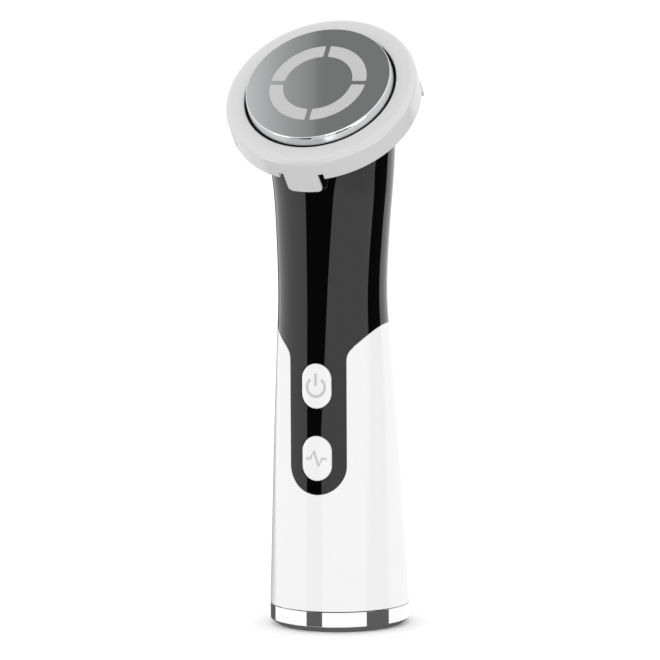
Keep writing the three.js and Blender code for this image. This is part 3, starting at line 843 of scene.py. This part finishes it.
class WAND_OT_cotton_ring(bpy.types.Operator):
    """Builds the clip-on ring: a turned top and a skirt cut with tabs and notches."""

    bl_idname = "wand.cotton_ring"
    bl_label = "Cotton ring"

    COLUMNS = 180

    def execute(self, context):
        bm = self.skirt()
        self.add_top(bm)
        bmesh.ops.remove_doubles(bm, verts=bm.verts, dist=1e-3)
        bmesh.ops.recalc_face_normals(bm, faces=bm.faces)
        ring = to_object(in_head(bm), "cotton_clip_ring")
        white = moulded_plastic("satin_white_ring_abs", colours().ring, 0.17, 1.0, 0.0008)
        set_piece(ring, white, "cotton_ring", "satin_white_abs", "cotton_ring", sharp=60)
        return {"FINISHED"}

    def skirt(self):
        """The skirt, made flat as a thick strip, rounded, and bent into a hoop."""
        wall = sizes().ring_wall / MM
        half_turn = math.pi * RING_OUTER
        outline = skirt_outline(sizes().tab_round / MM)
        outline += [(half_turn, RING_JOIN), (-half_turn, RING_JOIN)]
        bm = prism([(u, 0, w) for u, w in outline], (0, wall, 0))

        def at_end(v):
            return abs(abs(v.co.x) - half_turn) < 1e-4

        ends = [f for f in bm.faces if all(at_end(v) for v in f.verts)
                or all(abs(v.co.z - RING_JOIN) < 1e-4 for v in f.verts)]
        bmesh.ops.delete(bm, geom=ends, context="FACES")
        rims = [e for e in bm.edges if len(e.link_faces) == 2
                and e.calc_face_angle(0) > 0.5 and not all(at_end(v) for v in e.verts)]
        edge = sizes().edge_break / MM
        bmesh.ops.bevel(bm, geom=rims, offset=edge, offset_type="OFFSET", segments=3,
                        profile=0.5, affect="EDGES", material=-1, clamp_overlap=True)
        for k in range(1, self.COLUMNS):
            u = half_turn * (2 * k / self.COLUMNS - 1)
            bmesh.ops.bisect_plane(bm, geom=bm.verts[:] + bm.edges[:] + bm.faces[:],
                                   dist=1e-5, plane_co=(u, 0, 0), plane_no=(1, 0, 0))
        for vertex in bm.verts:
            u, depth, w = vertex.co
            angle = u / RING_OUTER
            radius = RING_OUTER - depth
            vertex.co = (radius * math.sin(angle), -radius * math.cos(angle), w)
        return bm

    def add_top(self, bm):
        """Spins the top's half section on to the skirt's open upper edge."""
        wall = sizes().ring_wall / MM
        edge = sizes().ring_edge / MM
        inside = RING_OUTER - wall
        points = rounded([
            (RING_OUTER, RING_JOIN, 0), (RING_OUTER, RING_TOP, edge),
            (RING_BORE, RING_TOP, 0.4), (RING_BORE, RING_TOP - wall, 0.15),
            (inside, RING_TOP - wall, 0.7), (inside, RING_JOIN, 0)], closed=False, steps=8)
        verts = [bm.verts.new((0, -p[0], p[1])) for p in points]
        edges = [bm.edges.new(pair) for pair in zip(verts, verts[1:])]
        bmesh.ops.spin(bm, geom=verts + edges, cent=(0, 0, 0), axis=(0, 0, 1),
                       angle=2 * math.pi, steps=self.COLUMNS, use_merge=True)


# ------------------------------------------------------------------ inside
class WAND_OT_inside(bpy.types.Operator):
    """Gives the pieces inside the housing their finishes."""

    bl_idname = "wand.inside"
    bl_label = "Inside"

    def execute(self, context):
        finishes = inner_materials()
        slots = {row["node"]: row["material_slot"] for row in frame["record"]["subparts"]}
        for name, obj in frame["nodes"].items():
            if obj.hide_render:
                continue
            obj.material_slots[0].material = finishes[slots[name]]
        return {"FINISHED"}


# ------------------------------------------------------------------ stage
CAMERA_AZIMUTH = math.radians(18.5)
CAMERA_ELEVATION = math.radians(5.0)
CAMERA_ROLL = math.radians(-0.4)
CAMERA_DISTANCE = 1.0
CAMERA_TARGET = Vector((0, 0, 0.0865))
CAMERA_LENS = 185.85            # millimetres on a 36 mm sensor
CAMERA_SHIFT = -0.0124

FLAG_LEVELS = (0.11, 0.035)     # glow of the dark cards beside the base and above it
FLAG_STEP = (-8, -3)            # height over which the glow changes
CARD_RADIUS = 100               # millimetres from the handle's axis to the dark cards
FLAGS = {                       # (height, left edge, right edge) in degrees from the camera
    "left_flag": [(-110, -55, -30), (50, -50, -25), (125, -50, 0)],
    "right_flag": [(-110, 40, 80), (0, 40, 80), (125, 80, 115), (190, 95, 100)],
    "back_flag": [(-110, -185, -125), (0, -185, -125), (70, -185, -145), (200, -185, -155)],
}
SKY = ((0.0, 0.93), (0.4, 0.97), (0.44, 1.11), (0.56, 1.11), (0.75, 1.13), (1.0, 1.15))
TOP_CARD_GLOW = ((0.0, 0.75), (0.2, 0.53), (0.35, 0.38), (0.48, 0.3), (0.5, 0.22))


def camera_axes():
    """Right, up and back of the camera."""
    azimuth, elevation, roll = CAMERA_AZIMUTH, CAMERA_ELEVATION, CAMERA_ROLL
    back = Vector((math.sin(azimuth) * math.cos(elevation),
                   -math.cos(azimuth) * math.cos(elevation), math.sin(elevation)))
    right = Vector((math.cos(azimuth), math.sin(azimuth), 0))
    up = back.cross(right)
    turned_right = right * math.cos(roll) + up * math.sin(roll)
    turned_up = up * math.cos(roll) - right * math.sin(roll)
    return turned_right, turned_up, back


def stage_object(obj, camera=False, glossy=True, diffuse=False, shadow=False):
    obj.visible_camera = camera
    obj.visible_glossy = glossy
    obj.visible_diffuse = diffuse
    obj.visible_shadow = shadow
    obj.visible_transmission = camera
    return obj


def glow(name, strength, tint=(1, 1, 1, 1)):
    """A card's even or graded glow."""
    material = bpy.data.materials.new(name)
    material.use_nodes = True
    tree = material.node_tree
    tree.nodes.clear()
    emission = add_node(tree, "ShaderNodeEmission", {"Color": tint, "Strength": strength})
    add_node(tree, "ShaderNodeOutputMaterial", links={"Surface": emission.outputs[0]})
    return material, tree, emission


def set_ramp(ramp, stops):
    """Fills a colour ramp with (position, level) stops."""
    while len(ramp.elements) < len(stops):
        ramp.elements.new(0.5)
    for element, (position, level) in zip(ramp.elements, stops):
        element.position = position
        element.color = (level, level, level, 1)


class WAND_OT_stage(bpy.types.Operator):
    """Sets the camera, the pale floor, the white surround and the studio's dark cards."""

    bl_idname = "wand.stage"
    bl_label = "Stage"

    def execute(self, context):
        self.set_camera()
        self.set_surround()
        self.add_floor()
        for name, rows in FLAGS.items():
            self.add_flag(name, rows)
        self.add_low_cards()
        self.add_low_strip()
        self.add_top_card()
        return {"FINISHED"}

    @staticmethod
    def set_camera():
        data = bpy.data.cameras.new("camera")
        data.lens = CAMERA_LENS
        data.sensor_width = 36
        data.shift_x = CAMERA_SHIFT
        camera = bpy.data.objects.new("camera", data)
        right, up, back = camera_axes()
        place = CAMERA_TARGET + back * CAMERA_DISTANCE
        camera.matrix_world = Matrix.Translation(place) @ Matrix(
            (right, up, back)).transposed().to_4x4()
        bpy.context.scene.collection.objects.link(camera)
        bpy.context.scene.camera = camera
        bpy.context.scene.view_settings.view_transform = "Standard"

    @staticmethod
    def set_surround():
        """A white surround: brightest overhead, a little dimmer below."""
        world = bpy.data.worlds.new("studio")
        bpy.context.scene.world = world
        world.use_nodes = True
        tree = world.node_tree
        background = tree.nodes["Background"]
        background.inputs["Color"].default_value = (1, 1, 1, 1)
        direction = add_node(tree, "ShaderNodeTexCoord").outputs["Generated"]
        height = add_node(tree, "ShaderNodeSeparateXYZ", links={"Vector": direction})
        level = add_node(tree, "ShaderNodeValToRGB")
        span = add_node(tree, "ShaderNodeMapRange", {"From Min": -1, "From Max": 1},
                        {"Value": height.outputs["Z"]})
        tree.links.new(span.outputs["Result"], level.inputs["Fac"])
        set_ramp(level.color_ramp, SKY)
        tree.links.new(level.outputs["Color"], background.inputs["Strength"])

    @staticmethod
    def add_floor():
        bm = bmesh.new()
        bmesh.ops.create_grid(bm, x_segments=1, y_segments=1, size=4000)
        floor = to_object(bm, "floor")
        material, tree, shader = new_material(
            "pale_floor", Base_Color=colours().floor, Roughness=0.9,
            Emission_Color=(1, 1, 1, 1), Emission_Strength=0.02)
        floor.data.materials.append(material)
        stage_object(floor, camera=True, glossy=False, diffuse=False, shadow=True)

    @staticmethod
    def add_flag(name, rows):
        """A dark card bent round the object, between two edges, that only its gloss shows."""
        steps = 24
        bm = bmesh.new()
        bmesh.ops.create_grid(bm, x_segments=steps, y_segments=len(rows) - 1, size=1.0)
        for vertex in bm.verts:
            share = (vertex.co.x + 1) / 2
            height, left, right = rows[round((vertex.co.y + 1) / 2 * (len(rows) - 1))]
            angle = CAMERA_AZIMUTH + math.radians(left + (right - left) * share)
            vertex.co = (CARD_RADIUS * math.sin(angle), -CARD_RADIUS * math.cos(angle), height)
        flag = to_object(bm, name)
        material, tree, emission = glow(name, 1.0)
        axis = add_node(tree, "ShaderNodeSeparateXYZ", links={"Vector": texture_at(tree)})
        low, high = FLAG_STEP
        span = add_node(tree, "ShaderNodeMapRange",
                        {"From Min": low * MM, "From Max": high * MM,
                         "To Min": FLAG_LEVELS[0], "To Max": FLAG_LEVELS[1]},
                        {"Value": axis.outputs["Z"]})
        tree.links.new(span.outputs["Result"], emission.inputs["Strength"])
        flag.data.materials.append(material)
        stage_object(flag)

    @staticmethod
    def add_low_cards():
        """A dark round card below the object and a light one in front, for its gloss."""
        dark = to_object(turned([(0, -40), (230, -40)], closed=False, columns=96),
                         "low_dark_card")
        dark.data.materials.append(glow("low_dark_card", 0.105)[0])
        stage_object(dark)
        bm = bmesh.new()
        bmesh.ops.create_grid(bm, x_segments=1, y_segments=1, size=1.0)
        for vertex in bm.verts:
            vertex.co = (vertex.co.x * 130 - 25, vertex.co.y * 57 - 112, -38)
        light = to_object(bm, "low_light_card")
        light.data.materials.append(glow("low_light_card", 0.8)[0])
        stage_object(light)

    @staticmethod
    def add_low_strip():
        """A bent light below the level of the head, for the ring's rounded edge."""
        radius, low, high = 600, -300, -125
        reach = math.radians(95)
        bm = bmesh.new()
        bmesh.ops.create_grid(bm, x_segments=32, y_segments=1, size=1.0)
        for vertex in bm.verts:
            angle = CAMERA_AZIMUTH + reach * vertex.co.x
            height = low if vertex.co.y < 0 else high
            vertex.co = (radius * math.sin(angle), -radius * math.cos(angle), height)
        strip = to_object(bm, "low_strip")
        strip.data.materials.append(glow("low_strip", 5.5)[0])
        stage_object(strip)

    @staticmethod
    def add_top_card():
        """A graded card where the contact plate mirrors the camera."""
        centre = HEAD_CENTRE * MM
        right, up, back = camera_axes()
        eye = CAMERA_TARGET + back * CAMERA_DISTANCE

        def mirrored(vector):
            return vector - 2 * vector.dot(HEAD_NORMAL) * HEAD_NORMAL

        away = -mirrored(eye - centre).normalized()
        across, along = mirrored(right), mirrored(up)
        reach, half = 0.5, 0.3
        bm = bmesh.new()
        bmesh.ops.create_grid(bm, x_segments=1, y_segments=1, size=half / MM)
        card = to_object(bm, "graded_card")
        card.matrix_world = Matrix.Translation(centre + away * reach) @ Matrix(
            (across, along, across.cross(along))).transposed().to_4x4()
        material, tree, emission = glow("graded_card", 1.0)
        axis = add_node(tree, "ShaderNodeSeparateXYZ", links={"Vector": texture_at(tree)})
        span = add_node(tree, "ShaderNodeMapRange", {"From Min": -0.04, "From Max": 0.04},
                        {"Value": axis.outputs["X"]})
        ramp = add_node(tree, "ShaderNodeValToRGB", links={"Fac": span.outputs["Result"]})
        set_ramp(ramp.color_ramp, TOP_CARD_GLOW)
        tree.links.new(ramp.outputs["Color"], emission.inputs["Color"])
        card.data.materials.append(material)
        stage_object(card)


# ------------------------------------------------------------------ panel and registration
OPERATORS = (
    WAND_OT_stage, WAND_OT_neck, WAND_OT_sleeve, WAND_OT_base, WAND_OT_buttons,
    WAND_OT_symbols, WAND_OT_plate, WAND_OT_windows, WAND_OT_head_base,
    WAND_OT_cotton_ring, WAND_OT_inside,
)


class WAND_PT_panel(bpy.types.Panel):
    """Lists the wand's pieces, sizes and colours."""

    bl_idname = "WAND_PT_panel"
    bl_label = "Facial care wand"
    bl_space_type = "VIEW_3D"
    bl_region_type = "UI"
    bl_category = "Wand"

    def draw(self, context):
        for operator in OPERATORS:
            self.layout.operator(operator.bl_idname)
        for group in (context.scene.wand_sizes, context.scene.wand_colours):
            box = self.layout.box()
            for name in group.__annotations__:
                box.prop(group, name)


CLASSES = (WandSizes, WandColours, *OPERATORS, WAND_PT_panel)


def register():
    for cls in CLASSES:
        bpy.utils.register_class(cls)
    bpy.types.Scene.wand_sizes = bpy.props.PointerProperty(type=WandSizes)
    bpy.types.Scene.wand_colours = bpy.props.PointerProperty(type=WandColours)


def unregister():
    del bpy.types.Scene.wand_colours
    del bpy.types.Scene.wand_sizes
    for cls in reversed(CLASSES):
        bpy.utils.unregister_class(cls)


def main():
    register()
    for operator in OPERATORS:
        group, name = operator.bl_idname.split(".")
        getattr(getattr(bpy.ops, group), name)()


if __name__ == "__main__":
    main()
